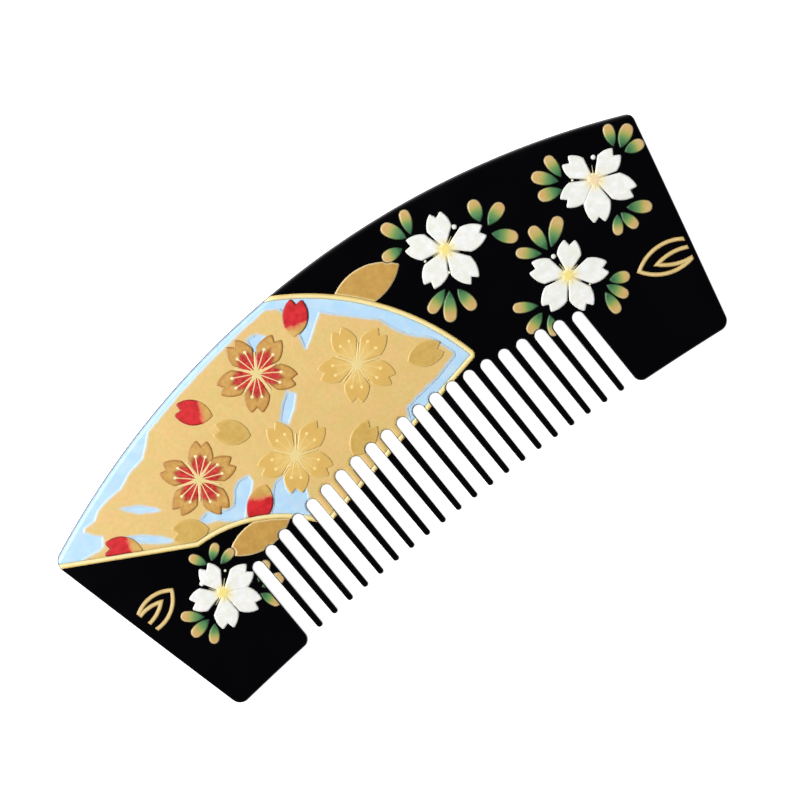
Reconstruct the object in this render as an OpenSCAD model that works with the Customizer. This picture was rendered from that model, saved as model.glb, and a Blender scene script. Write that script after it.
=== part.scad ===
// A kushi: an arched hair comb cut from one plate, with a row of fine teeth between two end guards
// and raised painted decoration on its front. It lies on its flat rear face, with the front up.
// Millimetres. +X runs along the comb, +Y points to the arched back, +Z is up out of the front.

/* [Plate] */
// Width across the two top corners, before they are rounded
shoulder_w = 105.6; // [96:0.2:120]
// Height on the centre line, from the crest of the back to the tooth tips
mid_h = 41.35; // [39:0.05:48]
// Radius of the arched back, seen from the front
back_r = 128.2; // [110:0.2:160]
// Lean of the right side edge from upright, in degrees
right_lean = 12.9; // [8:0.1:18]
// Lean of the left side edge from upright, in degrees
left_lean = 14.6; // [8:0.1:18]
// Radius of the shallow arch that the guard feet and the tooth tips follow
foot_r = 420; // [250:1:500]
// How much lower the arch of the guard feet lies than that of the tooth tips
guard_drop = 0.5; // [0:0.05:1]
// Rounding of the right top corner
right_corner_r = 1.3; // [0.6:0.1:2]
// Rounding of the left top corner
left_corner_r = 1.9; // [0.6:0.1:2.4]
// Rounding of the outer corner of each guard's foot
foot_corner_r = 1.6; // [0.6:0.1:2.5]
// Rounding of the inner corner of each guard's foot
inner_corner_r = 1.3; // [0.6:0.1:2.5]

/* [Thickness] */
// Thickness at the thickest line, just below the back
back_t = 4.6; // [3.4:0.1:6]
// Thickness at the tooth tips on the centre line
tip_t = 2.2; // [1.2:0.1:3]
// Distance of the thickest line below the crest of the back
thick_drop = 8; // [4:0.5:14]
// Rounding of the long edges of the back, front and rear
rim_r = 0.9; // [0.4:0.1:1.4]

/* [Teeth] */
// Number of teeth
tooth_count = 20; // [14:1:22]
// Distance from one tooth to the next
tooth_pitch = 2.91; // [2.5:0.01:3.1]
// Width of a tooth at its root
tooth_root_w = 1.12; // [0.8:0.02:1.4]
// Width of a tooth at its tip
tooth_tip_w = 0.9; // [0.6:0.02:1]
// Radius that rounds the end of a tooth
tooth_end_r = 0.52; // [0.5:0.02:0.8]
// Sideways shift of the row of tooth tips from the centre line
row_shift = -0.35; // [-1:0.01:1]
// Lean of the middle of the row from upright, in degrees. Above 0 it takes the tips to the right
row_lean = 1.2; // [-3:0.1:3]
// Change in lean from one tooth to the next. Below 0 the teeth draw together towards their tips
lean_step = -0.06; // [-0.2:0.01:0.1]
// Depth of the middle tooth root below the crest of the back
root_drop = 25.5; // [22:0.1:29]
// Radius of the arch that the tooth roots follow
root_r = 119.5; // [90:0.5:160]

/* [Fan] */
// Place of the fan's pivot: share of half the shoulder width, share of the root depth below the back
fan_pivot_at = [-0.345, 1.179];
// Bearing of the fan's right edge from its pivot, in degrees
fan_right_turn = 10.9; // [5:0.1:20]
// Bearing of the fan's left edge from its pivot, in degrees
fan_left_turn = 151.3; // [140:0.1:158]
// Radius of the fan's outer arc
fan_arc_r = 38.4; // [34:0.1:42]
// Centre of the outer arc, from the pivot, as shares of its radius
fan_arc_shift = [-0.138, -0.0573];
// Length of the chord where the lower left edge curves in, from the pivot
fan_bite_len = 18.9; // [14:0.1:22]
// Radius of the curved stretch of the lower left edge
fan_bite_r = 20.6; // [14:0.1:30]
// Rounding of the fan's right corner
fan_corner_r = 0.9; // [0.7:0.05:1.5]
// Width of the cream line that edges the fan
fan_rim_w = 0.7; // [0.3:0.02:1]
// Least width of the blue band inside the outer arc
fan_band_w = 1; // [0.5:0.05:2]
// Width of the blue band along the back
fan_top_band_w = 0.95; // [0.6:0.05:3]

/* [Flowers] */
// Length of a full petal, from the flower's centre to its two points
petal_reach = 5.8; // [4.5:0.1:6.4]
// Width of a full petal as a share of its reach. Longer and shorter petals differ half as much in width
petal_plump = 0.65; // [0.45:0.01:0.7]
// Angle that a petal may fill at the flower's centre, in degrees
petal_spread = 62; // [40:1:66]
// Depth of the notch at a petal's end
notch_depth = 0.78; // [0.3:0.02:1.2]
// Width of the notch between a petal's two points
notch_w = 1.5; // [0.8:0.05:2]
// Radius of the disc at a flower's centre
heart_r = 0.95; // [0.6:0.05:1.2]
// Radius of the loose dot beside each white flower
dot_r = 0.36; // [0.2:0.02:0.5]
// Length of a bud, from its base to its two points
bud_len = 5.5; // [4:0.1:6]
// Width of a bud
bud_w = 3.7; // [2.5:0.1:4]

/* [Leaves] */
// Length of a full leaflet, before its end is rounded
leaflet_len = 5; // [4:0.05:5.6]
// Width of a full leaflet
leaflet_w = 1.84; // [1.76:0.02:2.2]
// Radius of a leaflet's round end
leaflet_end_r = 0.86; // [0.4:0.02:0.86]
// Length of the large gold leaf above the fan
high_leaf_len = 11.9; // [9:0.1:13]
// Width of the large gold leaf above the fan
high_leaf_w = 5.35; // [3:0.05:6]
// Length of the large gold leaf below the fan
low_leaf_len = 10.6; // [9:0.1:12]
// Width of the large gold leaf below the fan
low_leaf_w = 4.3; // [3:0.05:5]
// Full length of the outer outline of a drawn petal, before its end is left open
line_petal_len = 9.6; // [7:0.1:10]
// Width of the outer outline of a drawn petal, from middle to middle of the line
line_petal_w = 4.1; // [3:0.1:4.6]
// Width of the gold line of the drawn petals
line_w = 0.6; // [0.3:0.02:0.7]

/* [Paint] */
// Thickness of a raised coat on the black ground
relief_t = 0.24; // [0.1:0.02:0.4]
// Thickness of each flat coat of the fan panel
coat_t = 0.1; // [0.06:0.01:0.2]
// Gap left under each coat and between neighbours
paint_gap = 0.03; // [0.02:0.01:0.1]
// Bare margin between the paint and the edge of the back and the sides
paint_margin = 0.16; // [0.1:0.02:1]
// Bare margin between the paint and the gaps between teeth
slot_margin = 0.08; // [0.04:0.02:0.2]

/* [Hidden] */
BLACK = [0.03, 0.03, 0.04];
BLUE = [0.72, 0.87, 0.97];
CREAM = [0.95, 0.86, 0.62];
CLOUD_GOLD = [0.89, 0.77, 0.5];
DEEP_GOLD = [0.82, 0.66, 0.34];
RED = [0.82, 0.16, 0.17];
WHITE = [0.96, 0.96, 0.96];
GREEN = [0.36, 0.52, 0.3];

arc_fn = 220;
small_fn = 72;
// A cut runs this far past the surface that it cuts
lap = 1;
// Outlines that would only touch are made to cross or clear each other by this much
skin = 0.01;
// A corner's waste reaches this many roundings out from the centre of the rounding
waste_reach = 1.5;
// A petal is cut from a lens that is longer than the petal by this factor
petal_lens = 1.1;

function dir(a) = [cos(a), sin(a)];
function arch_drop(r, x) = r - sqrt(r * r - x * x);
function quarter_turn(n) = n[0] > 0 ? [-n[1], n[0]] : [n[1], -n[0]];

// Upper point where the line n . p = c meets the circle of radius r at q
function meet(n, c, q, r) =
    let (m = quarter_turn(n), along = m * q, off = c - n * q)
    n * c + m * (along + sqrt(r * r - off * off));

// The plate is drawn with the crest of its back at y = 0. Each side edge is worked out on the
// right: side = 1 is the right one, and side = -1 is the left one, seen in a mirror
shoulder = [shoulder_w / 2, -arch_drop(back_r, shoulder_w / 2)];
back_centre = [0, -back_r];
foot_centre = [0, -mid_h - guard_drop - foot_r];

function side_n(side) = dir(side > 0 ? -right_lean : -left_lean);
function side_c(side) = side_n(side) * shoulder;
function top_r(side) = side > 0 ? right_corner_r : left_corner_r;
function side_x(side, inset, y) = (side_c(side) - inset - y * side_n(side)[1]) / side_n(side)[0];
function foot_corner(side) =
    meet(side_n(side), side_c(side) - foot_corner_r, foot_centre, foot_r + foot_corner_r);

low_y = min(foot_corner(1)[1], foot_corner(-1)[1]) - foot_corner_r;
crest_y = -low_y / 2;

// The row of teeth, with its places taken at the tooth tips
function tip_y(x) = -mid_h - arch_drop(foot_r, x);
function root_y(x) = -root_drop - arch_drop(root_r, x - row_shift);
function slot_x(i) = row_shift + (i - tooth_count / 2) * tooth_pitch;
function tooth_x(i) = slot_x(i + 0.5);
function lean(i) = row_lean + (i - tooth_count / 2) * lean_step;

slot_root_r = (tooth_pitch - tooth_root_w) / 2;
slot_tip_r = (tooth_pitch - tooth_tip_w) / 2;
slot_end = -guard_drop - lap;

// Length of gap i, from the tooth tips up to the centre of its round root
function slot_up(i) = root_y(slot_x(i)) - slot_root_r - tip_y(slot_x(i));

// The front is a shallow dome, turned about the centre of the back's arch
dome_run = mid_h - thick_drop;
dome_fall = back_t - tip_t;
dome_r = (dome_run * dome_run + dome_fall * dome_fall) / (2 * dome_fall);
dome_c = [back_r - thick_drop, back_t - dome_r];
rim_x = back_r - rim_r;
rim_c = [rim_x, dome_c[1] + sqrt(pow(dome_r - rim_r, 2) - pow(rim_x - dome_c[0], 2))];
rim_turn = atan2(rim_c[1] - dome_c[1], rim_c[0] - dome_c[0]);
hub_r = back_r - mid_h - 3 * lap;

// A point of the black ground: share of half the shoulder width, share of the root depth below the back
function spot(p) =
    let (x = p[0] * shoulder_w / 2)
    [x, -arch_drop(back_r, x) - p[1] * root_drop];

// A point of the fan: bearing from its pivot, share of the radius of its outer arc
function fan_spot(p) = fan_pivot + p[1] * fan_arc_r * dir(p[0]);

fan_pivot = spot(fan_pivot_at);
fan_arc_c = fan_pivot + fan_arc_r * fan_arc_shift;
fan_half = (fan_left_turn - fan_right_turn) / 2;
fan_mid_turn = (fan_left_turn + fan_right_turn) / 2;
fan_bite_drop = sqrt(pow(fan_bite_r, 2) - pow(fan_bite_len / 2, 2));
fan_bite_c = fan_pivot + fan_bite_len / 2 * dir(fan_left_turn) + fan_bite_drop * dir(fan_left_turn + 90);

// Each flower: its place, then [bearing, share of petal_reach] for each petal. A white flower
// ends with its loose dot, given in the same way
WHITE_FLOWERS = [
    [[0.37, 0.35], [[68, 0.95], [137, 1], [209, 1.02], [276, 1.08], [348, 1.09]], [30, 0.603]],
    [[0.807, 0.329], [[13, 0.9], [109, 0.87], [180, 0.97], [240, 1.08], [306, 1.08]], [54, 0.552]],
    [[0.591, 0.801], [[50, 0.89], [131, 0.97], [199, 1], [265, 0.97], [334, 1.02]], [90, 0.595]],
    [[-0.684, 0.96], [[4, 0.92], [88, 0.83], [162, 0.86], [241, 0.91], [305, 0.98]], [119, 0.569]],
];
RED_FLOWERS = [
    [[77.2, 0.629], [[23, 1.04], [93, 1], [165, 1.04], [233, 0.98], [314, 1.02]]],
    [[122.4, 0.513], [[349, 0.98], [49, 0.97], [126, 1], [198, 1], [271, 1.02]]],
];
GOLD_FLOWERS = [
    [[41.9, 0.615], [[14, 1.04], [83, 1], [158, 1], [232, 0.98], [300, 1]]],
    [[76.6, 0.29], [[13, 1], [92, 0.98], [165, 1], [233, 0.95], [299, 0.96]]],
];

// Each bud: the place of its base and its bearing
RED_BUDS = [
    [[98.5, 0.597], 133],
    [[62.3, 0.717], 49],
    [[149.4, 0.701], 141],
    [[108.4, 0.278], 214],
];
GOLD_BUDS = [
    [[92.7, 0.444], 133],
    [[26.2, 0.682], -15],
    [[32.7, 0.279], 20],
    [[143.7, 0.445], 150],
];

// Each sprig: its flower, then its leaflets. Each leaflet: the bearing of its point from the
// flower's centre and the distance as a share of petal_reach, its own bearing, then its length and
// its width as shares of the full leaflet
SPRIGS = [
    [0, [[141, 1.06, 171, 0.8, 1.01], [126, 0.99, 117, 1.02, 1.14], [119, 0.92, 71, 0.97, 0.95]]],
    [0, [[360, 1.11, 75, 0.81, 1.14], [351, 1.21, 20, 0.95, 1.11], [341, 1.21, -47, 0.97, 1.14]]],
    [0, [[232, 0.98, -160, 1.06, 1.01], [238, 1.02, -126, 1.19, 1.11], [249, 1.02, -87, 0.98, 1.09]]],
    [1, [[160, 0.83, 160, 0.89, 1.09], [145, 0.87, 132, 1.02, 1.09], [138, 0.81, 89, 0.95, 0.95]]],
    [1, [[21, 0.95, 70, 0.84, 0.95], [12, 1.01, 32, 0.92, 1.09], [4, 1.02, -10, 0.74, 1.01]]],
    [1, [[266, 1.04, -126, 0.75, 0.9], [271, 1.05, -79, 0.8, 0.95], [281, 1.06, -35, 0.94, 1.06]]],
    [2, [[102, 0.84, 141, 0.99, 0.95], [91, 0.81, 89, 1.05, 1.09], [84, 0.81, 38, 1.2, 1.11]]],
    [2, [[188, 1.05, 148, 0.98, 0.9], [197, 1.12, -161, 0.9, 0.98], [206, 1.08, -113, 0.81, 0.87]]],
    [2, [[298, 1, -94, 0.92, 0.98], [308, 0.97, -64, 0.91, 0.92], [315, 1.02, -24, 0.75, 0.98]]],
    [3, [[80, 0.8, 121, 0.72, 0.82], [72, 0.83, 38, 0.67, 0.82], [57, 0.71, 12, 0.71, 0.82]]],
    [3, [[196, 0.76, 139, 0.89, 0.9], [205, 0.74, -173, 0.86, 0.95], [217, 0.79, -130, 0.73, 0.87]]],
    [3, [[338, 0.91, 29, 0.89, 0.87], [330, 0.97, -10, 0.88, 1.03], [321, 0.93, -66, 0.82, 0.87]]],
];

// Place, in the fan, and bearing of each large gold leaf's stalk end
HIGH_LEAF_AT = [[51.5, 0.812], -5];
LOW_LEAF_AT = [[127.8, 0.144], 174];

// Outline of the gold cloud in the fan, which the fan's own edges trim
CLOUD_FIELD = [
    [153.1, 0.948], [149.7, 0.932], [148.1, 0.872], [147.4, 0.852], [145.2, 0.851], [144.6, 0.89],
    [144, 0.921], [142.4, 0.916], [140.7, 0.879], [138.4, 0.87], [135.6, 0.842], [131.6, 0.793],
    [129.4, 0.783], [126.7, 0.774], [122.1, 0.744], [118.8, 0.751], [115.4, 0.764], [112.5, 0.769],
    [108.3, 0.758], [101.4, 0.824], [70.2, 0.939], [68.1, 0.855], [64.4, 0.833], [60.8, 0.753],
    [59.2, 0.674], [57.8, 0.704], [56.3, 0.75], [54.5, 0.808], [50.5, 0.796], [44.5, 0.794],
    [38, 0.8], [34.2, 0.784], [30.1, 0.78], [27.1, 0.788], [24, 0.805], [20.6, 0.813],
    [16.9, 0.816], [15.1, 0.796], [15.2, 0.742], [15.3, 0.688], [16.9, 0.584], [17.6, 0.531],
    [11.2, 0.485], [337.7, 0.344], [212.2, 0.245], [168.2, 1.017],
];
// Brush strokes in the cloud where the blue shows: two ends, then the width as a share of the
// radius of the outer arc
CLOUD_SLITS = [
    [[137.4, 0.761], [136.9, 0.649], 0.0143],
    [[145.7, 0.747], [147.4, 0.594], 0.018],
];
// Larger bare patches in the cloud, by their corners
CLOUD_PATCHES = [
    [
        [76, 0.43], [73.3, 0.415], [68.7, 0.462], [66.4, 0.505], [68.9, 0.518], [72, 0.483],
    ],
    [
        [75.4, 0.756], [72.9, 0.761], [71, 0.747], [73.4, 0.722], [75.3, 0.692], [75.1, 0.727],
    ],
    [
        [139.5, 0.475], [136.4, 0.453], [136.1, 0.423], [133.8, 0.381], [130.8, 0.358],
        [126.1, 0.359], [121.3, 0.37], [116, 0.371], [110.9, 0.35], [112.3, 0.33], [119.1, 0.319],
        [126.4, 0.318], [132.6, 0.317], [137.4, 0.317], [139.6, 0.332], [138.8, 0.366],
        [138.7, 0.416], [140.4, 0.455],
    ],
    [
        [95.5, 0.246], [103.1, 0.251], [111.8, 0.235], [120.7, 0.215], [129.3, 0.215],
        [141, 0.228], [139.1, 0.076], [101.7, 0.097], [88.7, 0.129], [84.9, 0.159], [91.5, 0.174],
        [104.5, 0.183], [101.5, 0.212],
    ],
];

// Each drawn petal: the place of its point, the bearing in which it opens, its length and its width
// as shares of the full outline, and the share of its length that is drawn
LINE_PETALS = [
    [[-0.79, 0.701], 195, 0.84, 0.96, 0.72],
    [[0.75, 0.937], -12, 1.03, 1.03, 0.8],
];
// The small outline inside a drawn petal: where its point lies, its turn, then its length and
// width, all but the turn as shares of the outer outline
line_petal_inside = [[0.28, -0.05], -5, 0.74, 0.44];

module seat() {
    translate([0, crest_y, 0]) children();
}

// What a rounding takes off a corner: c is its centre, and a and b are the bearings of its two ends
module corner_waste_2d(c, r, a, b) {
    reach = waste_reach * r;
    difference() {
        polygon([
            c,
            c + reach * dir(a),
            c + reach / cos((a - b) / 2) * dir((a + b) / 2),
            c + reach * dir(b),
        ]);
        translate(c) circle(r, $fn = small_fn);
    }
}

// The plate's outline, drawn in by inset, with no teeth cut
module blank_2d(inset) {
    far_y = low_y - 4 * lap;
    difference() {
        intersection() {
            translate(back_centre) circle(back_r - inset + skin, $fn = arc_fn);
            polygon([
                [-side_x(-1, inset, lap), lap], [-side_x(-1, inset, far_y), far_y],
                [side_x(1, inset, far_y), far_y], [side_x(1, inset, lap), lap],
            ]);
        }
        translate(foot_centre) circle(foot_r + inset, $fn = arc_fn);
        for (side = [-1, 1]) on_side(side) {
            top_corner_waste_2d(side, inset);
            if (inset == 0) foot_corner_waste_2d(side);
        }
    }
}

// Puts what is worked out on the right onto its own side
module on_side(side) {
    mirror([side > 0 ? 0 : 1, 0]) children();
}

module top_corner_waste_2d(side, inset) {
    r = max(top_r(side) - inset, lap / 4);
    c = meet(side_n(side), side_c(side) - inset - r, back_centre, back_r - inset - r);
    from_back = c - back_centre;
    side_turn = atan2(side_n(side)[1], side_n(side)[0]);
    corner_waste_2d(c, r, atan2(from_back[1], from_back[0]), side_turn);
}

module foot_corner_waste_2d(side) {
    to_foot = foot_centre - foot_corner(side);
    side_turn = atan2(side_n(side)[1], side_n(side)[0]);
    corner_waste_2d(foot_corner(side), foot_corner_r, side_turn, atan2(to_foot[1], to_foot[0]));
}

// Inner corner of a guard's foot, where the last gap of the row meets the arch of the feet
module inner_corner_waste_2d(side) {
    i = side > 0 ? tooth_count : 0;
    flare = atan2(slot_tip_r - slot_root_r, slot_up(i) - slot_end);
    turn = 180 + side * lean(i) + flare;
    edge = [side * slot_x(i), tip_y(slot_x(i))] + slot_tip_r * dir(side * lean(i))
        + slot_end * dir(90 + side * lean(i));
    c = meet(dir(turn), dir(turn) * edge - inner_corner_r, foot_centre, foot_r + inner_corner_r);
    to_foot = foot_centre - c;
    on_side(side) corner_waste_2d(c, inner_corner_r, atan2(to_foot[1], to_foot[0]), turn - 360);
}

// One gap of the row, wider by grow on each side. Gap 0 lies left of the first tooth
module slot_2d(i, grow) {
    x = slot_x(i);
    up = slot_up(i);
    root_w = slot_root_r + grow;
    tip_w = slot_tip_r + grow;
    translate([x, tip_y(x)]) rotate(lean(i)) {
        translate([0, up]) circle(root_w, $fn = small_fn);
        polygon([[-root_w, up], [-tip_w, slot_end], [tip_w, slot_end], [root_w, up]]);
    }
}

// What the round end of a tooth leaves out
module tooth_end_waste_2d(i) {
    x = tooth_x(i);
    translate([x, tip_y(x)]) rotate(lean(i + 0.5)) difference() {
        translate([-tooth_pitch / 2, tooth_end_r - tooth_pitch]) square(tooth_pitch);
        translate([0, tooth_end_r]) circle(tooth_end_r, $fn = small_fn);
    }
}

module comb_2d() {
    difference() {
        blank_2d(0);
        for (i = [0 : tooth_count]) slot_2d(i, 0);
        for (i = [0 : tooth_count - 1]) tooth_end_waste_2d(i);
        for (side = [-1, 1]) inner_corner_waste_2d(side);
    }
}

// Where paint may lie: clear of the plate's edges and of the gaps between teeth
module paint_area_2d() {
    difference() {
        blank_2d(paint_margin);
        for (i = [0 : tooth_count]) slot_2d(i, slot_margin);
    }
}

// Half section of the dome, raised by grow: distance from the arch's centre, then height
module dome_2d(grow) {
    difference() {
        intersection() {
            translate([hub_r, 0]) square([back_r + grow - hub_r, back_t + grow + lap]);
            translate(dome_c) circle(dome_r + grow, $fn = arc_fn);
        }
        corner_waste_2d(rim_c, rim_r + grow, rim_turn, 0);
    }
}

// A coat of paint on the front: the 2D children, laid lift above the surface and t thick
module coat(lift, t) {
    seat() intersection() {
        linear_extrude(back_t + lift + t + lap) children();
        translate(back_centre) rotate_extrude($fn = arc_fn) difference() {
            dome_2d(lift + t);
            dome_2d(lift);
        }
    }
}

module comb() {
    color(BLACK) seat() intersection() {
        linear_extrude(back_t + lap) comb_2d();
        translate(back_centre) rotate_extrude($fn = arc_fn) difference() {
            dome_2d(0);
            corner_waste_2d([rim_x, rim_r], rim_r, 0, -90);
        }
    }
}

// The fan's outline, drawn in by inset
module fan_2d(inset) {
    pivot = fan_pivot + inset / sin(fan_half) * dir(fan_mid_turn);
    reach = 2 * shoulder_w;
    difference() {
        intersection() {
            translate(fan_arc_c) circle(fan_arc_r - inset, $fn = arc_fn);
            polygon([
                pivot,
                pivot + reach * dir(fan_right_turn),
                pivot + reach * dir(fan_mid_turn),
                pivot + reach * dir(fan_left_turn),
            ]);
        }
        translate(fan_bite_c) circle(fan_bite_r + inset, $fn = arc_fn);
        fan_corner_waste_2d(inset);
    }
}

// Right corner of the fan, where its edge meets the outer arc
module fan_corner_waste_2d(inset) {
    edge_turn = fan_right_turn - 90;
    edge_n = dir(edge_turn);
    r = max(fan_corner_r - inset, lap / 5);
    c = meet(edge_n, edge_n * fan_pivot - inset - r, fan_arc_c, fan_arc_r - inset - r);
    from_arc = c - fan_arc_c;
    corner_waste_2d(c, r, atan2(from_arc[1], from_arc[0]), edge_turn);
}

// A lens with its two points at x = 0 and x = len, grown by grow
module lens_2d(len, w, grow) {
    r = (len * len + w * w) / (4 * w);
    intersection() {
        translate([len / 2, r - w / 2]) circle(r + grow, $fn = small_fn);
        translate([len / 2, w / 2 - r]) circle(r + grow, $fn = small_fn);
    }
}

// A brush stroke from p to q, w wide in its middle
module slit_2d(p, q, w) {
    run = q - p;
    translate(p) rotate(atan2(run[1], run[0])) lens_2d(norm(run), w, 0);
}

// A petal along +X with a notch between its two points, grown by grow
module petal_2d(reach, w, grow) {
    difference() {
        lens_2d(petal_lens * reach, w, grow);
        polygon([
            [reach - notch_depth + grow, 0],
            [reach + notch_depth + grow, notch_w],
            [reach + notch_depth + grow, -notch_w],
        ]);
    }
}

// A whole flower at its own centre
module flower_2d(petals, grow) {
    circle(heart_r + grow, $fn = small_fn);
    for (petal = petals) {
        reach = petal_reach * petal[1];
        rotate(petal[0]) intersection() {
            petal_2d(reach, (reach + petal_reach) / 2 * petal_plump, grow);
            polygon([
                [-grow, 0],
                reach * 2 * dir(-petal_spread / 2) - [0, grow],
                reach * 2 * dir(petal_spread / 2) + [0, grow],
            ]);
        }
    }
}

module fan_flower(row) {
    coat(fan_motif_lift, coat_t) translate(fan_spot(row[0])) flower_2d(row[1], 0);
}

// A leaflet along +X: a point at x = 0 and a round end, grown by grow
module leaflet_2d(len, w, end_r, grow) {
    r = (len * len + w * w) / (4 * w);
    run = sqrt(pow(r - end_r, 2) - pow(r - w / 2, 2));
    turn = atan2(r - w / 2, run);
    difference() {
        lens_2d(len, w, grow);
        corner_waste_2d([len / 2 + run, 0], end_r + grow + skin, turn, -turn);
    }
}

module leaflets_2d(row, grow) {
    centre = spot(WHITE_FLOWERS[row[0]][0]);
    for (leaf = row[1]) translate(centre + leaf[1] * petal_reach * dir(leaf[0])) rotate(leaf[2])
        leaflet_2d(leaflet_len * leaf[3], leaflet_w * leaf[4], leaflet_end_r * leaf[4], grow);
}

module white_flower_2d(i, grow) {
    row = WHITE_FLOWERS[i];
    translate(spot(row[0])) flower_2d(row[1], grow);
}

module fan_ground() {
    color(BLUE) coat(paint_gap, coat_t) intersection() {
        fan_2d(fan_rim_w + paint_gap);
        paint_area_2d();
    }
}

module fan_rim() {
    color(CREAM) coat(paint_gap, 2 * coat_t + paint_gap) intersection() {
        difference() {
            fan_2d(0);
            fan_2d(fan_rim_w);
        }
        paint_area_2d();
    }
}

module cloud_2d() {
    difference() {
        intersection() {
            fan_2d(fan_rim_w + paint_gap);
            translate(fan_arc_c) circle(fan_arc_r - fan_rim_w - fan_band_w, $fn = arc_fn);
            translate(back_centre) circle(back_r - fan_top_band_w, $fn = arc_fn);
            polygon([for (p = CLOUD_FIELD) fan_spot(p)]);
        }
        for (slit = CLOUD_SLITS)
            slit_2d(fan_spot(slit[0]), fan_spot(slit[1]), slit[2] * fan_arc_r);
        for (patch = CLOUD_PATCHES) polygon([for (p = patch) fan_spot(p)]);
    }
}

module fan_cloud() {
    color(CLOUD_GOLD) coat(coat_t + 2 * paint_gap, coat_t) intersection() {
        cloud_2d();
        paint_area_2d();
    }
}

fan_motif_lift = 2 * coat_t + 3 * paint_gap;

module red_blossom(i) {
    color(RED) fan_flower(RED_FLOWERS[i]);
}

module gold_blossom(i) {
    color(DEEP_GOLD) fan_flower(GOLD_FLOWERS[i]);
}

module bud(row) {
    coat(fan_motif_lift, coat_t) intersection() {
        translate(fan_spot(row[0])) rotate(row[1]) petal_2d(bud_len, bud_w, 0);
        fan_2d(fan_rim_w + paint_gap);
        paint_area_2d();
    }
}

module red_bud(i) {
    color(RED) bud(RED_BUDS[i]);
}

module gold_bud(i) {
    color(DEEP_GOLD) bud(GOLD_BUDS[i]);
}

// A gold leaf, kept clear of the fan and of white flower i with its sprigs
module gold_leaf(at, len, w, i) {
    color(DEEP_GOLD) coat(paint_gap, relief_t) difference() {
        intersection() {
            translate(fan_spot(at[0])) rotate(at[1]) lens_2d(len, w, 0);
            paint_area_2d();
        }
        fan_2d(-paint_gap);
        white_flower_2d(i, 2 * paint_gap);
        for (row = SPRIGS) if (row[0] == i) leaflets_2d(row, 2 * paint_gap);
    }
}

module white_blossom(i) {
    row = WHITE_FLOWERS[i];
    color(WHITE) coat(paint_gap, relief_t) {
        white_flower_2d(i, 0);
        translate(spot(row[0]) + row[2][1] * petal_reach * dir(row[2][0])) circle(dot_r, $fn = small_fn);
    }
}

module sprig(i) {
    row = SPRIGS[i];
    color(GREEN) coat(paint_gap, relief_t) difference() {
        intersection() {
            leaflets_2d(row, 0);
            paint_area_2d();
        }
        white_flower_2d(row[0], 2 * paint_gap);
        fan_2d(-paint_gap);
    }
}

// A drawn outline of a lens, len long and w wide at the middle of its line
module lens_line_2d(len, w) {
    difference() {
        lens_2d(len, w, line_w / 2);
        lens_2d(len, w, -line_w / 2);
    }
}

module line_petal_part(i) {
    row = LINE_PETALS[i];
    len = line_petal_len * row[2];
    w = line_petal_w * row[3];
    small = line_petal_inside;
    color(CREAM) coat(paint_gap, coat_t) translate(spot(row[0])) rotate(row[1]) intersection() {
        union() {
            lens_line_2d(len, w);
            translate([len * small[0][0], w * small[0][1]]) rotate(small[1])
                lens_line_2d(len * small[2], w * small[3]);
        }
        translate([-lap, -w]) square([lap + len * row[4], 2 * w]);
    }
}

function numbered(name, n) = [for (i = [1 : n]) str(name, "_", i)];

comb();
fan_ground();
fan_rim();
fan_cloud();
gold_leaf(HIGH_LEAF_AT, high_leaf_len, high_leaf_w, 0);  // gold_leaf_1
gold_leaf(LOW_LEAF_AT, low_leaf_len, low_leaf_w, 3);  // gold_leaf_2
for (i = [0 : 3]) {
    white_blossom(i);
    red_bud(i);
    gold_bud(i);
}
for (i = [0 : 1]) {
    red_blossom(i);
    gold_blossom(i);
    line_petal_part(i);
}
for (i = [0 : 11]) sprig(i);
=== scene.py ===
import math

import bpy
import numpy as np
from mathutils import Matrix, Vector
from mathutils.geometry import delaunay_2d_cdt


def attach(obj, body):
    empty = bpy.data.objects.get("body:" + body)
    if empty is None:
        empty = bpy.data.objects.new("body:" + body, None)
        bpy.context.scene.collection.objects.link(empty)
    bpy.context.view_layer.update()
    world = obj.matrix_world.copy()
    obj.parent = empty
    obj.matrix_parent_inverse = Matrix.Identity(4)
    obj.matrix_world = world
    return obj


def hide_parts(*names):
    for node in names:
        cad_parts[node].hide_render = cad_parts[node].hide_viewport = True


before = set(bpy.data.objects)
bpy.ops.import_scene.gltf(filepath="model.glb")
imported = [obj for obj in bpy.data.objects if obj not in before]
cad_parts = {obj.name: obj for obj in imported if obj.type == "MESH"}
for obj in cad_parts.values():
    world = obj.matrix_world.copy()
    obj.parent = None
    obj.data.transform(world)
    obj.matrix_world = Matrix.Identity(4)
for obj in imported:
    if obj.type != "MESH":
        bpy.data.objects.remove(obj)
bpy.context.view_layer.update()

# Lengths are in millimetres, and MM turns them into metres where a mesh or a material is made
MM = 0.001

# Sizes of the part, in millimetres, as in the CAD source
shoulder_w, mid_h, back_r = 105.6, 41.35, 128.2
right_lean, left_lean = 12.9, 14.6
foot_r, guard_drop = 420.0, 0.5
right_corner_r, left_corner_r, foot_corner_r, inner_corner_r = 1.3, 1.9, 1.6, 1.3
back_t, tip_t, thick_drop, rim_r = 4.6, 2.2, 8.0, 0.9
tooth_count, tooth_pitch, tooth_root_w, tooth_tip_w, tooth_end_r = 20, 2.91, 1.12, 0.9, 0.52
row_shift, row_lean, lean_step = -0.35, 1.2, -0.06
root_drop, root_r = 25.5, 119.5
fan_pivot_at = (-0.345, 1.179)
fan_right_turn, fan_left_turn = 10.9, 151.3
fan_arc_r, fan_arc_shift = 38.4, (-0.138, -0.0573)
fan_bite_len, fan_bite_r, fan_corner_r = 18.9, 20.6, 0.9
fan_rim_w, fan_band_w, fan_top_band_w = 0.7, 1.0, 0.95
petal_reach, petal_plump, petal_spread = 5.8, 0.65, 62.0
notch_depth, notch_w, heart_r, dot_r = 0.78, 1.5, 0.95, 0.36
bud_len, bud_w = 5.5, 3.7
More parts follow.
